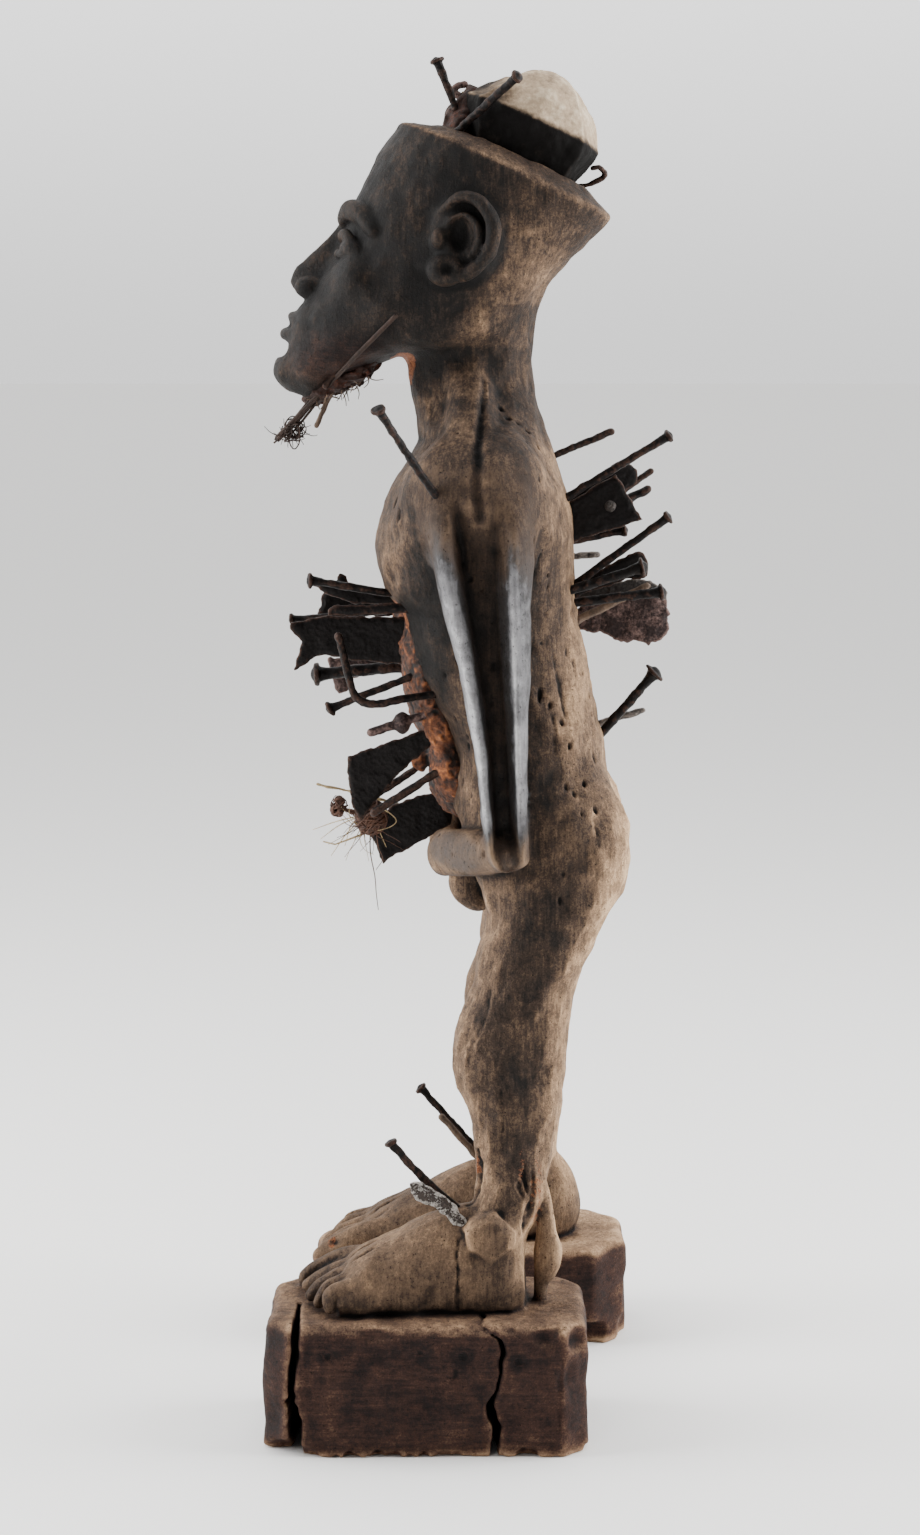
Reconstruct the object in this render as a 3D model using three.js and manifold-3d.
// Standing power figure carved in one piece with its two base blocks,
// with medicine packs on its head and belly and iron driven into it.
// Millimetres, +Z up. The figure faces -Y and its left side is +X.
import * as THREE from 'three';
import { mergeVertices } from 'three/addons/utils/BufferGeometryUtils.js';
import Module from 'manifold-3d';

const wasm = await Module();
wasm.setup();

// Base blocks
const BLOCK_WIDTH = 112;
const LEFT_BLOCK_LENGTH = 229;
const RIGHT_BLOCK_LENGTH = 247;
const LEFT_BLOCK_HEIGHT = 95;
const RIGHT_BLOCK_HEIGHT = 79;
const LEFT_BLOCK_CORNER = 14;
const RIGHT_BLOCK_CORNER = 25;
const BLOCK_EDGE = 10;
const WIDE_CRACK = 10;
const THIN_CRACK = 7;
const CRACK_DEPTH = 52;
const WORN_END_LIFT = 13;
const BLOCK_FRONT_LEAN = 6;
const RIGHT_BLOCK_SLOPE = 0.12;

// Height from the sole of the left foot to the top of the head pack
const STANDING_HEIGHT = 866;

// Iron and wooden things driven into the figure
const NAIL_SHANK = 5.2;
const NAIL_HEAD = 9.6;
const NAIL_HEAD_THICKNESS = 2.6;
const BIG_NAIL_SHANK = 6.4;
const BIG_NAIL_HEAD = 14.5;
const THICK_NAIL_SHANK = 8;
const ROD = 4.6;
const PLATE = 3;
const PEG = 6;

// Clearance between pieces that touch
const FIT = 0.3;

// The carving is laid out in shares of the standing height: one share is a
// millimetre at the height above. Heights are counted so that the left sole is at
// START.sole, and depths so that the middle of the whole object is at START.middle.
const SHARE = STANDING_HEIGHT / 866;
const START = { sole: 95, middle: 8 };

function at(x, y, z) {
  return new THREE.Vector3(x * SHARE, (y - START.middle) * SHARE,
    LEFT_BLOCK_HEIGHT + (z - START.sole) * SHARE);
}

// The head leans back: a runs back along the flat crown, b runs down the face.
const HEAD_TILT = 24 * Math.PI / 180;
const CROWN_FRONT = [-42.5, 928];

function inHead(x, a, b) {
  const y = CROWN_FRONT[0] + a * Math.cos(HEAD_TILT) - b * Math.sin(HEAD_TILT);
  const z = CROWN_FRONT[1] - a * Math.sin(HEAD_TILT) - b * Math.cos(HEAD_TILT);
  return at(x, y, z);
}

// A repeatable unevenness between -1 and 1 for knocked edges and crumbly lumps
function uneven(i, j) {
  const s = Math.sin(i * 12.9898 + j * 78.233) * 43758.5453;
  return 2 * (s - Math.floor(s)) - 1;
}

// A solid from points and triangles, turned right side out
function solidOf(points, triangles) {
  let volume = 0;
  for (let i = 0; i < triangles.length; i += 3) {
    const [p, q, r] = [0, 1, 2].map((k) => points[triangles[i + k]]);
    volume += p.dot(new THREE.Vector3().crossVectors(q, r));
  }
  const triVerts = new Uint32Array(triangles);
  if (volume < 0) {
    for (let i = 0; i < triVerts.length; i += 3) {
      [triVerts[i + 1], triVerts[i + 2]] = [triVerts[i + 2], triVerts[i + 1]];
    }
  }
  const vertProperties = new Float32Array(points.flatMap((p) => [p.x, p.y, p.z]));
  return new wasm.Manifold(new wasm.Mesh({ numProp: 3, vertProperties, triVerts }));
}

// A closed skin over rings that all have the same number of points
function skin(rings) {
  const n = rings[0].length;
  const points = rings.flat();
  const triangles = [];
  for (let r = 0; r < rings.length - 1; r++) {
    for (let i = 0; i < n; i++) {
      const a = r * n + i;
      const b = r * n + (i + 1) % n;
      triangles.push(a, b, b + n, a, b + n, a + n);
    }
  }
  const last = (rings.length - 1) * n;
  for (let i = 1; i < n - 1; i++) {
    triangles.push(0, i + 1, i);
    triangles.push(last, last + i, last + i + 1);
  }
  return solidOf(points, triangles);
}

function joined(solids) {
  return solids.reduce((all, next) => all.add(next));
}

function geometryOf(solid) {
  const mesh = solid.getMesh();
  const geometry = new THREE.BufferGeometry();
  geometry.setAttribute('position', new THREE.BufferAttribute(mesh.vertProperties, 3));
  geometry.setIndex(new THREE.BufferAttribute(mesh.triVerts, 1));
  geometry.computeVertexNormals();
  return geometry;
}

// The outline of a section: an oval between front and back, widest where asked,
// squarer as the roundness number grows
function oval(count, front, back, widest, halfWidth, roundness) {
  const outline = [];
  for (let i = 0; i < count; i++) {
    const t = i / count * 2 * Math.PI;
    const c = Math.cos(t);
    const s = Math.sin(t);
    const reach = s < 0 ? widest - front : back - widest;
    const u = Math.sign(c) * Math.abs(c) ** (2 / roundness) * halfWidth;
    const v = widest + Math.sign(s) * Math.abs(s) ** (2 / roundness) * reach;
    outline.push([u, v]);
  }
  return outline;
}

// A rod of round or oval section along a path; each radius is a number or a pair
function rod(path, radii, sides, across = new THREE.Vector3(1, 0, 0)) {
  const rings = path.map((p, i) => {
    const before = path[Math.max(i - 1, 0)];
    const after = path[Math.min(i + 1, path.length - 1)];
    const along = after.clone().sub(before).normalize();
    const u = across.clone().addScaledVector(along, -across.dot(along)).normalize();
    const v = new THREE.Vector3().crossVectors(along, u);
    const [ru, rv] = [radii[i]].flat().length === 2 ? radii[i] : [radii[i], radii[i]];
    return Array.from({ length: sides }, (_, k) => {
      const t = (k + 0.5) / sides * 2 * Math.PI;
      return p.clone().addScaledVector(u, ru * Math.cos(t)).addScaledVector(v, rv * Math.sin(t));
    });
  });
  return skin(rings);
}

// An egg of the given half sizes, upright
function egg(x, y, z, rx, ry, rz, sides) {
  const levels = [-0.95, -0.5, 0.5, 0.95];
  const rings = levels.map((h) => oval(sides, -1, 1, 0, 1, 2).map(([u, v]) => {
    const r = Math.sqrt(1 - h * h);
    return at(x + u * r * rx, y + v * r * ry, z + h * rz);
  }));
  return skin(rings);
}

// Trunk from the crotch to the nape:
// height, front, back, half width, depth where it is widest, roundness
const TRUNK = [
  [358, 28, 98, 46, 62, 2.2],
  [376, 16, 110, 78, 62, 2.3],
  [400, 8, 115, 90, 62, 2.4],
  [450, -7, 112, 89, 56, 2.4],
  [475, -4, 106.5, 84, 52, 2.4],
  [500, -13, 101, 79, 46, 2.4],
  [525, -28, 98, 76, 38, 2.4],
  [552, -36.5, 93.5, 75, 30, 2.4],
  [583, -43, 86.5, 77, 22, 2.4],
  [600, -55, 84, 82, 18, 2.4],
  [629, -60.5, 83, 99, 12, 2.3],
  [652, -57, 81, 112, 12, 2.2],
  [672, -49, 76.5, 115, 14, 2.1],
  [688, -39, 70, 106, 16, 2],
  [706, -30, 63, 80, 18, 2],
  [734, -34, 54.5, 47, 16, 2.1],
  [780, -38, 51, 41, 10, 2.2],
  [806, -32, 54, 43, 14, 2.2],
];

function trunk(count) {
  return skin(TRUNK.map(([z, front, back, half, widest, roundness]) => {
    const furrow = z > 400 && z < 690 ? 3.5 : 0;
    return oval(count, front, back, widest, half, roundness).map(([x, y]) => {
      const inFurrow = y > widest && Math.abs(x) < half * 0.2;
      return at(x, y - (inFurrow ? furrow : 0), z);
    });
  }));
}

// Head between the chin and the rim of the crown, and the low rise on the crown:
// b, front, back, half width, a where it is widest, roundness
const HEAD = [
  [204, 3, 22, 13, 10, 2],
  [197, -6, 27, 26, 12, 2.1],
  [184, -11, 35, 38, 16, 2.2],
  [166, -12, 50, 47, 26, 2.3],
  [148, -10, 68, 53, 40, 2.3],
  [130, -8, 108, 59, 62, 2.3],
  [108, -6, 138, 62, 76, 2.3],
  [86, -5, 140.5, 64, 78, 2.3],
  [44, -6, 147, 64.5, 78, 2.4],
  [8, 0, 161.5, 61.5, 79, 2.5],
  [0, 0, 162.5, 61, 80, 2.5],
  [-3, 5, 156, 56, 80, 2.5],
  [-10, 26, 143, 43, 84, 2.3],
];

function skull(count) {
  return skin(HEAD.map(([b, front, back, half, widest, roundness]) => (
    oval(count, front, back, widest, half, roundness).map(([x, a]) => inHead(x, a, b)))));
}

// Nose: b, ridge, half width, squareness of the ridge
const NOSE = [
  [66, -8, 5, 2],
  [88, -12, 8, 2],
  [112, -22, 12, 1.8],
  [130, -29, 19, 1.8],
  [138, -25, 18, 1.9],
  [142, -13, 12, 2],
];

function nose() {
  return skin(NOSE.map(([b, ridge, half, roundness]) => (
    oval(8, ridge, 14, 2, half, roundness).map(([x, a]) => inHead(x, a, b)))));
}

function lip(b, reach, thickness) {
  const path = [[-25, 5], [-13, -7], [0, -11], [13, -7], [25, 5]];
  const radii = [0.4, 0.9, 1, 0.9, 0.4];
  const up = inHead(0, 0, 0).sub(inHead(0, 0, 1)).normalize();
  return rod(path.map(([x, a]) => inHead(x, a, b)),
    radii.map((r) => [r * thickness * SHARE, r * reach * SHARE]), 5, up);
}

// Brows and lids: points on the left side and their radii
const BROW = [[4, -8, 80, 2], [15, -8, 71, 3.8], [31, -2, 69, 4], [52, 16, 83, 2]];
const LIDS = [[12, 1, 94, 1.5], [20, -3, 93, 5.4], [31, -1, 92, 5.6], [41, 8, 94, 1.5]];

function face() {
  const parts = [nose(), lip(156, 10, 6), lip(169, 9.5, 6.4)];
  const down = new THREE.Vector3(0, 0, -1);
  for (const side of [-1, 1]) {
    for (const line of [BROW, LIDS]) {
      const path = line.map(([x, a, b]) => inHead(side * x, a, b));
      parts.push(rod(path, line.map(([, , , radius]) => radius * SHARE), 5, down));
    }
  }
  return joined(parts);
}

// Ears: a rim open to the front, an inner fold and a lobe
const EAR_RIM = [[-16, 859], [-6, 869], [8, 872], [22, 859], [22, 841], [12, 823], [-5, 811]];
const EAR_FOLD = [[-8, 860], [8, 857], [8, 836], [-8, 826]];

function ear(side) {
  const rim = EAR_RIM.map(([y, z], i) => at(side * (66 + 4 * Math.sin(i * 0.5)), y, z));
  const fold = EAR_FOLD.map(([y, z]) => at(side * 66.5, y, z));
  return joined([
    rod(rim, [3, 4.6, 5, 5, 5, 5.5, 6].map((r) => r * SHARE), 5),
    rod(fold, [2, 3.6, 3.6, 2].map((r) => r * SHARE), 4),
    egg(side * 62, -12, 822, 8, 12, 12, 5),
  ]);
}

// Upper arm with a hollow channel down its outer face:
// height, front, back, inner side, outer side, depth of the channel
const ARM = [
  [716, 2, 34, 50, 66, 0],
  [694, -18, 46, 62, 104, 0.02],
  [668, -24, 50.5, 70, 121, 0.1],
  [637, -21.5, 50.5, 78, 129, 0.2],
  [558, -3.5, 48, 89, 127, 0.31],
  [479, 11, 47.4, 92, 124, 0.32],
  [424, 17, 49, 94, 121, 0.25],
  [410, 23, 44, 98, 115, 0.1],
];
const ARM_OUTLINE = [[0, 0.5], [0.03, 0.85], [0.12, 1], [0.21, 0.92], [0.29, 0.25], [0.5, 0],
  [0.68, 0.2], [0.78, 0.9], [0.88, 1], [0.97, 0.85], [1, 0.5], [0.9, 0.06], [0.5, 0],
  [0.1, 0.08]];
const CHANNEL_POINTS = [4, 5, 6];

function arm(side) {
  return skin(ARM.map(([z, front, back, inner, outer, channel]) => (
    ARM_OUTLINE.map(([v, w], i) => {
      const reach = CHANNEL_POINTS.includes(i) ? 1 - channel * (1 - w) : w;
      return at(side * (inner + (outer - inner) * reach), front + (back - front) * v, z);
    }))));
}

// Forearm from the elbow to the belly, with the hand laid on the belly
const FOREARM = [[108, 34, 421], [88, 19, 418], [50, -6, 411], [28, -11, 407], [13, -11, 405]];
const FOREARM_SIZE = [[14, 12], [16, 14], [17, 13], [17, 13], [12, 10]];

function forearm(side) {
  const path = FOREARM.map(([x, y, z]) => at(side * x, y, z));
  const size = FOREARM_SIZE.map((pair) => pair.map((r) => r * SHARE));
  const fingers = [0, 1, 2, 3].map((i) => {
    const z = 419 - i * 7.4;
    const finger = [[42, -17, z + 1], [14 + i * 2, -19, z - 1]];
    const fingerPath = finger.map(([x, y, h]) => at(side * x, y, h));
    return rod(fingerPath, [4, 4].map((r) => r * SHARE), 3);
  });
  return joined([rod(path, size, 8, new THREE.Vector3(0, 0, 1)), ...fingers]);
}

// Left leg with its buttock: height, front, back, half width, centre, roundness
const LEG = [
  [472, 14, 98, 26, 46, 2.1],
  [452, 6, 114, 40, 47, 2.2],
  [432, 4, 121.5, 45, 48, 2.2],
  [412, 7, 122.5, 46, 49, 2.2],
  [392, 12, 120.5, 46, 51, 2.2],
  [372, 18, 110.5, 45, 54, 2.2],
  [318, 8.7, 84, 38, 65, 2.2],
  [294, -1.5, 79, 35, 71, 2.2],
  [268, -6.5, 75.5, 33.5, 76, 2.2],
  [250, -3, 73.5, 32.5, 80, 2.2],
  [228, 6.5, 69.5, 31, 86, 2.2],
  [180, 10.8, 63, 29.5, 97, 2.2],
  [150, 8, 54, 30, 103, 2.2],
  [98, 2, 47, 28, 106, 2.2],
];

// Left foot, from the heel to the ball: depth, top, half width, centre
const FOOT = [
  [52, 128, 19, 106],
  [40, 148, 26, 106],
  [8, 168, 31.5, 106],
  [-12, 163, 32, 106],
  [-44, 148, 35, 106],
  [-72, 132, 38, 107],
  [-86, 117, 38, 107],
];

// Toes from the big one outwards: centre at the ball, centre of the tip, tip depth, radius
const TOES = [
  [82, 76, -110, 10],
  [97, 94, -109, 7.6],
  [110, 112, -106, 7.4],
  [123, 129, -100, 7],
  [136, 144, -91, 6.6],
];

// Points on the raised lozenge of the ankle bone: depth and height
const ANKLE = [[-5, 148], [18, 167], [41, 146], [20, 126]];

// Middle line of the left heel tendon, which stands free of the ankle and swells
// into the heel, and the plain heel of the right foot: depth, height, radius
const LEFT_HEEL = [[52, 192, 6], [61, 162, 6.2], [63, 131, 10.5], [59, 112, 7.5], [55, 90, 5]];
const RIGHT_HEEL = [[44, 156, 16], [46, 136, 22], [47, 116, 25], [45, 96, 22]];

// The right leg is the left one mirrored, set back, reaching lower, with a
// longer and lower foot
const RIGHT_SETBACK = 17;
const RIGHT_FOOT_STRETCH = 1.12;
const RIGHT_FOOT_DROP = 0.24;
const RIGHT_FOOT_SLOPE = 0.15;

function share(from, to, z) {
  return Math.min(Math.max((from - z) / (from - to), 0), 1);
}

function mirrored(x, y, z) {
  const stretch = 1 + (RIGHT_FOOT_STRETCH - 1) * share(160, 130, z);
  const back = RIGHT_SETBACK * (0.35 * share(400, 310, z) + 0.65 * share(300, 150, z));
  const p = at(-x, 20 + (y - 20) * stretch + back, z);
  p.z -= (LEFT_BLOCK_HEIGHT - RIGHT_BLOCK_HEIGHT) * share(320, START.sole, z);
  p.z -= RIGHT_FOOT_DROP * Math.min(z - START.sole, 75) * share(320, 170, z) * SHARE;
  p.z -= RIGHT_FOOT_SLOPE * Math.max(20 - y, 0) * share(320, 170, z) * SHARE;
  return p;
}

function leg(place, heel) {
  const parts = [skin(LEG.map(([z, front, back, half, centre, roundness]) => (
    oval(12, front, back, (front + back) / 2, half, roundness)
      .map(([x, y]) => place(centre + x, y, z)))))];
  parts.push(skin(FOOT.map(([y, top, half, centre]) => (
    oval(10, START.sole - 5, top, START.sole + 10, half, 2.4)
      .map(([x, z]) => place(centre + x, y, z))))));
  for (const [ball, tip, reach, radius] of TOES) {
    const path = [[ball, -72, 118], [(ball + tip) / 2, -92, 111], [tip, reach, 102]];
    parts.push(rod(path.map(([x, y, z]) => place(x, y, z)),
      [1, 1, 0.7].map((r) => r * radius * SHARE), 5));
  }
  parts.push(rod(heel.map(([y, z]) => place(106, y, z)),
    heel.map(([, , radius]) => radius * SHARE), 6));
  const lozenge = (x, size) => ANKLE.map(([y, z]) => (
    place(x, 22 + (y - 22) * size, 147 + (z - 147) * size)));
  parts.push(skin([lozenge(120, 1), lozenge(135, 1), lozenge(140.5, 0.62)]));
  return joined(parts);
}

// One base block with knocked corners and a rounded, worn top edge
function block(centreX, centreY, length, height, corner, slope, seed) {
  const halfX = BLOCK_WIDTH / 2;
  const halfY = length / 2;
  const outline = [];
  const sides = [[1, -1], [1, 1], [-1, 1], [-1, -1]];
  sides.forEach(([sx, sy], i) => {
    const cut = corner * (1 + 0.25 * uneven(i, seed));
    const onLong = [sx * halfX, sy * (halfY - cut)];
    const onShort = [sx * (halfX - cut), sy * halfY];
    outline.push(...(sx * sy < 0 ? [onShort, onLong] : [onLong, onShort]));
    if (sx * sy < 0) outline.push([sx * halfX, sy * halfY / 3], [sx * halfX, -sy * halfY / 3]);
  });
  // height, how far the outline draws in, how uneven that is
  const levels = [[0, 0.5, 1.2], [height - BLOCK_EDGE, 0.5, 0.8],
    [height - BLOCK_EDGE * 0.4, BLOCK_EDGE * 0.35, 0.6], [height, BLOCK_EDGE * 1.1, 1]];
  return skin(levels.map(([z, inset, rough], row) => outline.map(([x, y], i) => {
    const draw = inset + rough * uneven(i + row * 31, seed);
    const lean = y < 0 && row > 1 ? BLOCK_FRONT_LEAN : 0;
    const fall = row > 0 ? slope * Math.max(-y, 0) : 0;
    return new THREE.Vector3(centreX + x * (1 - draw / halfX),
      centreY + y * (1 - draw / halfY) + lean, z - fall);
  })));
}

// A crack that goes into the outer face of the left block. Its line runs up the
// face as [depth, height, share of the width], and it narrows inside the block.
function crack(face, line, width) {
  const outline = (x, open) => {
    const edge = (side) => line.map(([y, z, w]) => (
      new THREE.Vector3(x, y + side * w * width * open / 2, z)));
    return [edge(-1), edge(1)];
  };
  const slices = [outline(face + 5, 1), outline(face - CRACK_DEPTH, 0.3)];
  const steps = [];
  for (let i = 0; i < line.length - 1; i++) {
    const ring = ([low, high]) => [low[i], low[i + 1], high[i + 1], high[i]];
    steps.push(skin(slices.map(ring)));
  }
  return joined(steps);
}

function baseBlocks() {
  const footCentre = at(106, 0, 0).x;
  const leftY = at(0, -24, 0).y;
  const rightY = at(0, 6.5, 0).y;
  const face = footCentre + BLOCK_WIDTH / 2;
  const top = LEFT_BLOCK_HEIGHT;
  const front = leftY - LEFT_BLOCK_LENGTH / 2;
  const wideAt = front + LEFT_BLOCK_LENGTH * 0.095;
  const thinAt = front + LEFT_BLOCK_LENGTH * 0.7;
  const wide = [[wideAt, -4, 1], [wideAt + 1, top * 0.25, 1], [wideAt - 2, top * 0.5, 0.6],
    [wideAt, top + 4, 0.95]];
  const thin = [[thinAt, -4, 1], [thinAt, top * 0.4, 0.9], [thinAt + 8, top * 0.8, 0.65],
    [thinAt + 1, top + 4, 0.3]];
  // the end in front of the wide crack is worn off below and clears the floor
  const inside = face - CRACK_DEPTH;
  const worn = [[face + 5, 1], [inside, 0.1]].map(([x, lift]) => [
    new THREE.Vector3(x, front - 10, -5),
    new THREE.Vector3(x, front - 10, WORN_END_LIFT * lift + 1),
    new THREE.Vector3(x, wideAt, WORN_END_LIFT * lift),
    new THREE.Vector3(x, wideAt, -5),
  ]);
  const left = block(footCentre, leftY, LEFT_BLOCK_LENGTH, LEFT_BLOCK_HEIGHT,
    LEFT_BLOCK_CORNER, 0, 3)
    .subtract(crack(face, wide, WIDE_CRACK))
    .subtract(crack(face, thin, THIN_CRACK))
    .subtract(skin(worn));
  const right = block(-footCentre, rightY, RIGHT_BLOCK_LENGTH, RIGHT_BLOCK_HEIGHT,
    RIGHT_BLOCK_CORNER, RIGHT_BLOCK_SLOPE, 8);
  return left.add(right);
}

// Medicine pack on the crown, faceted: b, front, back, half width, widest at
const HEAD_PACK = [
  [-5, 48, 131, 36, 88],
  [-33, 31, 138.5, 46, 86],
  [-37, 32, 138, 45.5, 86],
  [-52, 46, 129, 38, 88],
  [-64, 63, 115, 26, 89],
  [-73.5, 85, 99, 6, 92],
];

function headPack(grow) {
  return skin(HEAD_PACK.map(([b, front, back, half, widest], row) => (
    oval(8, front - grow, back + grow, widest, half + grow, 2.3)
      .map(([x, a]) => inHead(x, a, row ? b : b + grow)))));
}

// Dark resin in front of the pack
const HEAD_RESIN = [[-3, 30, 54, 17], [-14, 27, 52, 21], [-28, 29, 48, 17], [-42, 34, 44, 7]];

function headResin(grow) {
  return skin(HEAD_RESIN.map(([b, front, back, half], row) => (
    oval(6, front - grow, back + grow, (front + back) / 2, half + grow, 2)
      .map(([x, a], i) => inHead(x, a + 1.6 * uneven(i, row), row ? b : b + grow)))));
}

// Crumbly medicine pack let into the chest and belly: height, front, half width
const BELLY_PACK = [
  [590, -45, 12],
  [582, -47.5, 27],
  [558, -46, 39],
  [532, -43.5, 42],
  [513, -39, 41],
  [497, -33, 40],
  [484, -27, 38],
  [462, -23.5, 36],
  [446, -20, 30],
  [432, -14, 16],
];

function bellyPack(grow) {
  return skin(BELLY_PACK.map(([z, front, half], row) => (
    oval(10, front - grow, front + 36 + grow, front + 19, half + grow, 2.2).map(([x, y], i) => {
      const lump = y < front + 12 ? 1.8 * uneven(i, row) : 0;
      const end = row === 0 ? grow : row === BELLY_PACK.length - 1 ? -grow : 0;
      return at(x, y + lump, z + end);
    }))));
}

// Resin crust under the jaw: depth, height of its middle, half width, half thickness
const CHIN_RESIN = [
  [-56, 762, 10, 4],
  [-68, 756, 23, 8],
  [-84, 748, 26, 9],
  [-102, 739, 20, 9.5],
  [-113, 736, 8, 4],
];

function chinResin(grow) {
  return skin(CHIN_RESIN.map(([y, z, half, thick], row) => (
    oval(8, -thick - grow, thick + grow, 0, half + grow, 2).map(([x, h], i) => {
      const end = row === 0 ? grow : row === CHIN_RESIN.length - 1 ? -grow : 0;
      return at(x, y + end, z + h + (h < 0 ? 1.4 * uneven(i, row) : 0));
    }))));
}

// Nails and rods have this many sides, and so have the holes they sit in
const SIDES = 5;

// Depth that a thing is driven in, in shares of the standing height
const DRIVEN_DEPTH = 14;

// Path points, with the first one pushed deeper by the driven depth
function driven(points) {
  const path = points.map((p) => at(...p));
  const inward = path[0].clone().sub(path[1]).normalize();
  path[0].addScaledVector(inward, DRIVEN_DEPTH * SHARE);
  return path;
}

function shank(points, diameter, grow) {
  const path = driven(points);
  const last = path.length - 1;
  const inward = path[0].clone().sub(path[1]).normalize();
  const outward = path[last].clone().sub(path[last - 1]).normalize();
  path[0].addScaledVector(inward, grow);
  path[last].addScaledVector(outward, grow);
  const radii = path.map((_, i) => (i ? diameter / 2 : diameter * 0.36) + grow);
  return { path, radii };
}

function nail(points, diameter, head, grow) {
  const { path, radii } = shank(points, diameter, grow);
  if (grow) return rod(path, radii, SIDES);
  const top = path[path.length - 1].clone();
  const along = top.clone().sub(path[path.length - 2]).normalize();
  path[path.length - 1].addScaledVector(along, -NAIL_HEAD_THICKNESS);
  for (const [below, size] of [[NAIL_HEAD_THICKNESS * 0.7, 1], [0, 0.85]]) {
    path.push(top.clone().addScaledVector(along, -below));
    radii.push(head / 2 * size);
  }
  return rod(path, radii, SIDES);
}

function pin(points, diameter, grow) {
  const { path, radii } = shank(points, diameter, grow);
  return rod(path, radii, SIDES);
}

// A flat blade cut to an outline of [depth, height] points, standing at a given x
function blade(outline, x, grow) {
  const corners = outline.map(([y, z]) => at(0, y, z)).map((p) => new THREE.Vector2(p.y, p.z));
  const area = THREE.ShapeUtils.area(corners);
  if (area < 0) corners.reverse();
  const grown = corners.map((p, i) => {
    const before = corners[(i + corners.length - 1) % corners.length];
    const after = corners[(i + 1) % corners.length];
    const u = p.clone().sub(before).normalize();
    const v = after.clone().sub(p).normalize();
    const normal = new THREE.Vector2(u.y + v.y, -u.x - v.x).normalize();
    return p.clone().addScaledVector(normal, grow / Math.max(normal.dot(
      new THREE.Vector2(u.y, -u.x)), 0.4));
  });
  const thickness = PLATE + 2 * grow;
  const geometry = new THREE.ExtrudeGeometry(new THREE.Shape(grown),
    { depth: thickness, bevelEnabled: false });
  const place = new THREE.Matrix4().makeBasis(new THREE.Vector3(0, 1, 0),
    new THREE.Vector3(0, 0, 1), new THREE.Vector3(1, 0, 0));
  place.setPosition(x * SHARE - thickness / 2, 0, 0);
  geometry.applyMatrix4(place);
  geometry.deleteAttribute('normal');
  geometry.deleteAttribute('uv');
  const merged = mergeVertices(geometry, 1e-4);
  return new wasm.Manifold(new wasm.Mesh({
    numProp: 3,
    vertProperties: new Float32Array(merged.attributes.position.array),
    triVerts: new Uint32Array(merged.index.array),
  }));
}

// Materials
const wood = { color: 0x57493c, roughness: 0.62, metalness: 0 };
const paleMass = { color: 0xa08c74, roughness: 0.85, metalness: 0 };
const resin = { color: 0x2c1a14, roughness: 0.5, metalness: 0 };
const rustMass = { color: 0x8a4a26, roughness: 0.95, metalness: 0 };
const iron = { color: 0x241f1d, roughness: 0.6, metalness: 0.7 };
const rust = { color: 0x5a3a32, roughness: 0.8, metalness: 0.5 };
const greyIron = { color: 0x5b5853, roughness: 0.55, metalness: 0.7 };
const twigWood = { color: 0x6a4a33, roughness: 0.8, metalness: 0 };

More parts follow.
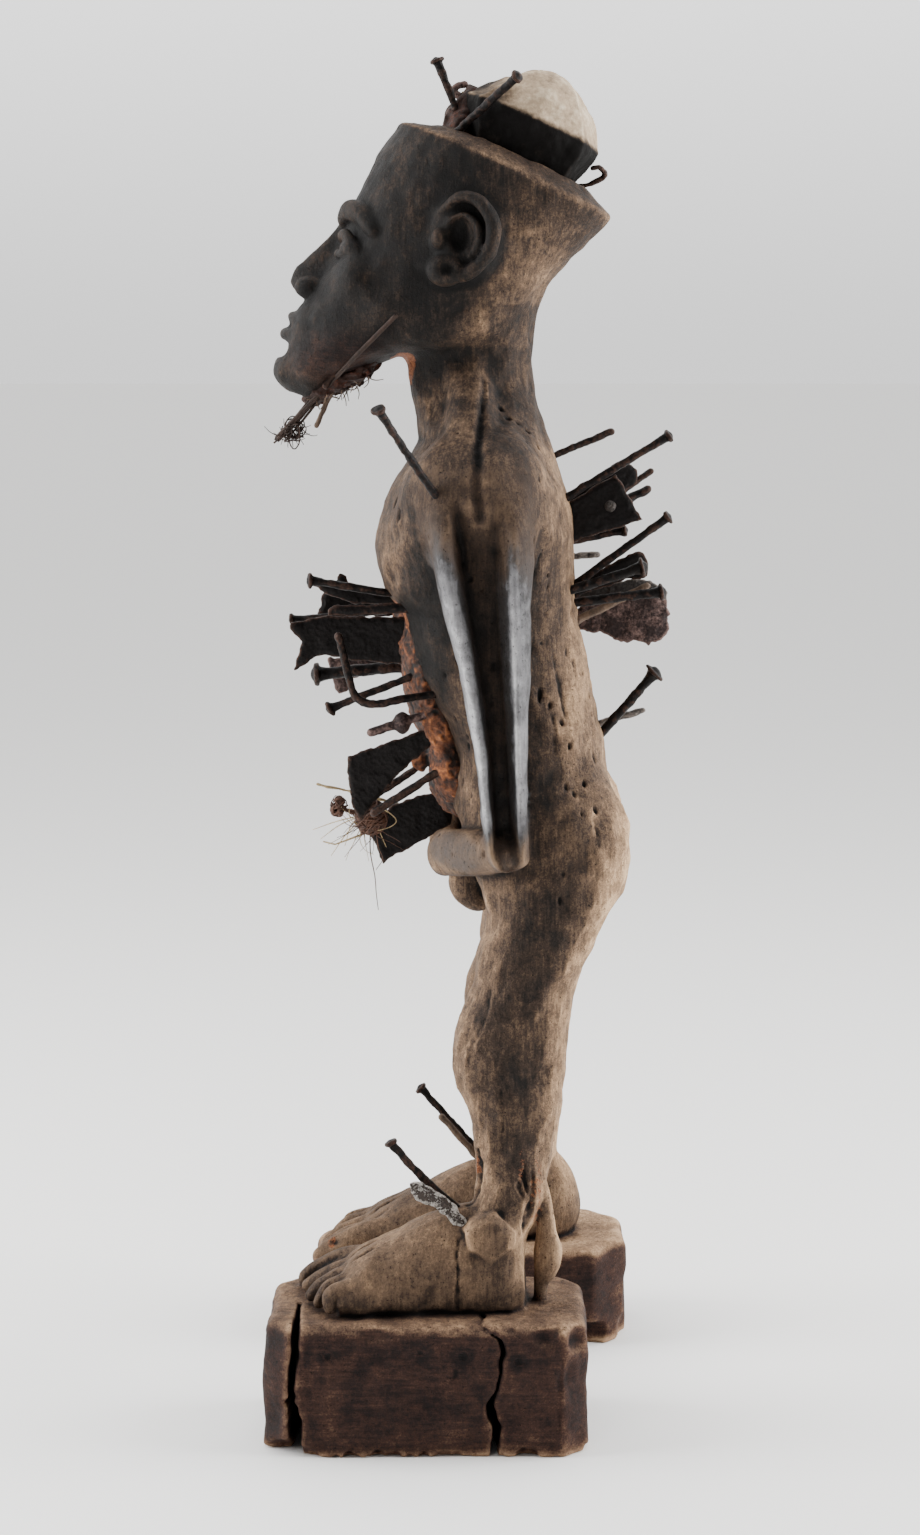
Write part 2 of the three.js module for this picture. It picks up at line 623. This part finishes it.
// Everything that is driven in: name, material, maker taking the clearance
const DRIVEN = [
  ['crown_nail_front', iron,
    (g) => nail([[11, 0, 925], [13, -6, 944], [15, -17, 970]],
      NAIL_SHANK, NAIL_HEAD, g)],
  ['crown_nail_slanting', iron,
    (g) => nail([[30, 0, 920.5], [56, 40.4, 954.7]], NAIL_SHANK, NAIL_HEAD, g)],
  ['crown_hooked_blade', rust,
    (g) => pin([[0, 6, 922], [0, 1, 943], [-1, -4, 949], [-2, -1, 953], [-3, 5, 954]], ROD, g)],
  ['crown_bent_hook', iron,
    (g) => pin([[-6, 84, 883], [-6, 95, 886], [-4, 103, 891], [-1, 99, 896.5], [0, 93, 895.5]],
      ROD * 0.75, g)],
  ['shoulder_nail', iron,
    (g) => nail([[112, -15, 668], [128, -35, 698], [150, -55, 730]], NAIL_SHANK, NAIL_HEAD, g)],
  ['back_rod_top', iron, (g) => pin([[-4, 66, 692], [-12, 111, 710]], ROD, g)],
  ['back_nail_upper', iron, (g) => nail([[28, 72, 662], [38, 149, 709]], NAIL_SHANK, NAIL_HEAD, g)],
  ['back_triangle_blade', iron,
    (g) => blade([[66, 630], [66, 655], [83, 664], [112, 682], [131, 648], [80, 631]], 20, g)],
  ['back_strap', iron,
    (g) => blade([[66, 646], [70, 660], [117, 692], [129, 683], [128, 672], [96, 654]], 2, g)],
  ['back_pin_a', iron, (g) => pin([[-8, 82, 642], [-12, 140, 682]], ROD, g)],
  ['back_pin_b', iron, (g) => pin([[-20, 84, 641], [-25, 139, 668]], ROD * 1.3, g)],
  ['back_nail_under', iron, (g) => nail([[11, 80, 632], [11, 120, 640]], NAIL_SHANK, NAIL_HEAD, g)],
  ['back_short_rod', greyIron, (g) => pin([[-28, 80, 618], [-32, 103, 619]], ROD, g)],
  ['back_nail_middle', iron,
    (g) => nail([[30, 83, 603], [41, 149, 652]], NAIL_SHANK, NAIL_HEAD, g)],
  ['back_nail_heavy', iron,
    (g) => nail([[39, 76, 598], [44, 131, 616]], BIG_NAIL_SHANK, BIG_NAIL_HEAD, g)],
  ['back_nail_low', iron,
    (g) => nail([[24, 78, 588], [28, 146, 597]], BIG_NAIL_SHANK, BIG_NAIL_HEAD * 0.8, g)],
  ['back_peg', twigWood, (g) => pin([[13, 85, 575], [15, 137, 601]], PEG, g)],
  ['back_round_blade', rust,
    (g) => blade([[72, 580], [72, 569], [100, 563], [121, 557], [138, 556], [151, 564],
      [153, 578], [146, 590], [136, 596]], -4, g)],
  ['back_leaf_blade', iron,
    (g) => blade([[70, 586], [70, 597], [95, 608], [118, 620], [130, 625], [134, 622],
      [137, 615], [137, 606], [133, 604], [124, 604]], 4, g)],
  ['back_hasp', iron,
    (g) => blade([[72, 584], [72, 591], [129, 604], [139, 602], [148, 597], [152.5, 592],
      [152.5, 581], [146, 578], [144, 572], [128, 572], [110, 577]], -20, g).subtract(
      blade([[129, 586], [143, 586], [143, 580], [129, 580]], -20, 0.5))],
  ['back_nail_waist', iron,
    (g) => nail([[22, 101, 492], [26, 124, 519], [30, 141, 540]],
      BIG_NAIL_SHANK, BIG_NAIL_HEAD, g)],
  ['back_rod_waist', greyIron, (g) => pin([[-18, 101, 495], [-22, 137, 505]], ROD, g)],
  ['belly_nail_top', iron,
    (g) => nail([[25, -47, 595], [31, -109, 605.5]], NAIL_SHANK, NAIL_HEAD * 1.1, g)],
  ['belly_blade_top', iron,
    (g) => blade([[-34, 595], [-34, 586], [-74, 586], [-98, 593], [-108, 601], [-108, 604],
      [-79, 600]], 10, g)],
  ['belly_round_blade', iron,
    (g) => blade([[-34, 573], [-34, 582], [-78, 591], [-83, 604], [-86, 606], [-91, 603],
      [-101, 589], [-106, 575], [-95, 574]], -28, g)],
  ['belly_flat_bar', iron,
    (g) => blade([[-28, 590], [-28, 582], [-95, 580], [-95, 585], [-90, 588]], 37, g)],
  ['belly_nail_left', iron, (g) => nail([[-12, -44, 581], [-18, -125, 571.5]],
    NAIL_SHANK, NAIL_HEAD, g)],
  ['belly_fishtail', iron,
    (g) => blade([[-32, 578], [-32, 543], [-60, 544], [-94, 549], [-103, 548], [-120, 539],
      [-114, 560], [-124, 569], [-122, 574], [-95, 579]], 18, g)],
  ['belly_thick_nail', iron,
    (g) => nail([[2, -42, 540], [2, -107, 534]], THICK_NAIL_SHANK, BIG_NAIL_HEAD * 1.15, g)],
  ['belly_hanging_blade', rust,
    (g) => blade([[-34, 548], [-34, 538], [-58, 534], [-81, 528], [-82, 520], [-87, 517.5],
      [-93, 522], [-98, 545]], -16, g)],
  ['belly_nail_low', iron,
    (g) => nail([[33, -38, 535], [37, -95, 513]], NAIL_SHANK, NAIL_HEAD * 1.1, g)],
  ['belly_bent_hook', iron,
    (g) => pin([[46, -26, 524], [50, -42, 522], [53, -58, 519], [53, -69, 520.5],
      [53, -76, 527], [52, -80, 542], [50, -84, 558], [50, -87, 569]], ROD * 1.15, g)],
  ['belly_screw_peg', rust,
    (g) => pin([[36, -34, 506], [38, -66, 496]], PEG, g).add(egg(36, -42, 503, 6 + g, 6.5 + g,
      8 + g, 6))],
  ['belly_square_blade_upper', iron,
    (g) => blade([[-16, 500], [-35, 494], [-60, 485.5], [-82, 478], [-82, 462], [-79, 440],
      [-72, 429], [-43, 465.5], [-16, 489]], 26, g)],
  ['belly_square_blade_lower', iron,
    (g) => blade([[-6, 449], [-6, 421], [-57, 392], [-68, 415], [-52, 436], [-34, 443]], -6, g)],
  ['belly_rod_left', iron, (g) => pin([[32, -17, 466], [33, -64, 436]], ROD * 1.2, g)],
  ['belly_rod_right', iron, (g) => pin([[10, -24, 471.5], [11, -62, 446]], ROD * 1.1, g)],
  ['belly_straw', twigWood, (g) => pin([[-20, -28, 428], [-21, -66, 440], [-24, -107, 449]],
    ROD * 0.6, g)],
  ['instep_nail_left', iron,
    (g) => nail([[108, -4, 166], [110, -31, 192], [112, -50, 215]],
      NAIL_SHANK, NAIL_HEAD, g)],
  ['instep_blade_left', greyIron,
    (g) => blade([[10, 150], [3, 170], [-31, 190], [-37, 186], [-33, 178], [-2, 155]], 122, g)],
  ['instep_nail_right', iron,
    (g) => nail([[-106, 21, 134], [-110, -32, 193]], NAIL_SHANK, NAIL_HEAD, g)],
  ['instep_peg_right', twigWood, (g) => pin([[-96, 21, 131], [-96, -16, 174]], PEG, g)],
  ['chin_rod', iron, (g) => pin([[32, -70, 778], [28, -96, 742]], ROD, g)],
  ['chin_twigs', twigWood,
    (g) => pin([[18, -94, 746], [14, -114, 719], [12, -130, 700]], PEG, g)
      .add(egg(12, -122, 709, 7 + g, 9 + g, 9 + g, 5))],
  ['chin_peg', twigWood, (g) => pin([[2, -91, 741], [0, -104, 713]], ROD, g)],
];

// The fibre tuft bound round the end of a belly rod, and the coil that hangs from it
function fibreTuft() {
  const tie = [at(7, -66, 431), at(6, -89, 437)];
  return joined([egg(8, -65, 430, 9, 11, 12, 6), rod(tie, [2.5, 2.5], 4),
    egg(6, -90, 437, 6, 6, 7.5, 6)]);
}

// Assembly
const cuts = DRIVEN.map(([, , make]) => make(FIT));
const sockets = joined(cuts);

const figure = joined([
  trunk(16),
  skull(16),
  face(),
  ear(1),
  ear(-1),
  arm(1),
  arm(-1),
  forearm(1),
  forearm(-1),
  leg(at, LEFT_HEEL),
  leg(mirrored, RIGHT_HEEL),
  egg(0, 9, 379, 14, 15, 16, 7),
  baseBlocks(),
]).subtract(headPack(FIT)).subtract(headResin(FIT)).subtract(bellyPack(FIT))
  .subtract(chinResin(FIT)).subtract(sockets);

const object = new THREE.Group();

function show(name, solid, material) {
  const mesh = new THREE.Mesh(geometryOf(solid), new THREE.MeshStandardMaterial(material));
  mesh.name = name;
  object.add(mesh);
}

show('carved_figure', figure, wood);
show('head_pack', headPack(0).subtract(sockets), paleMass);
show('head_resin', headResin(0).subtract(headPack(FIT)).subtract(sockets), resin);
show('belly_pack', bellyPack(0).subtract(sockets), rustMass);
show('chin_resin', chinResin(0).subtract(sockets), resin);
show('belly_fibre_tuft', fibreTuft().subtract(sockets), twigWood);
for (const [name, material, make] of DRIVEN) show(name, make(0), material);

export default object;
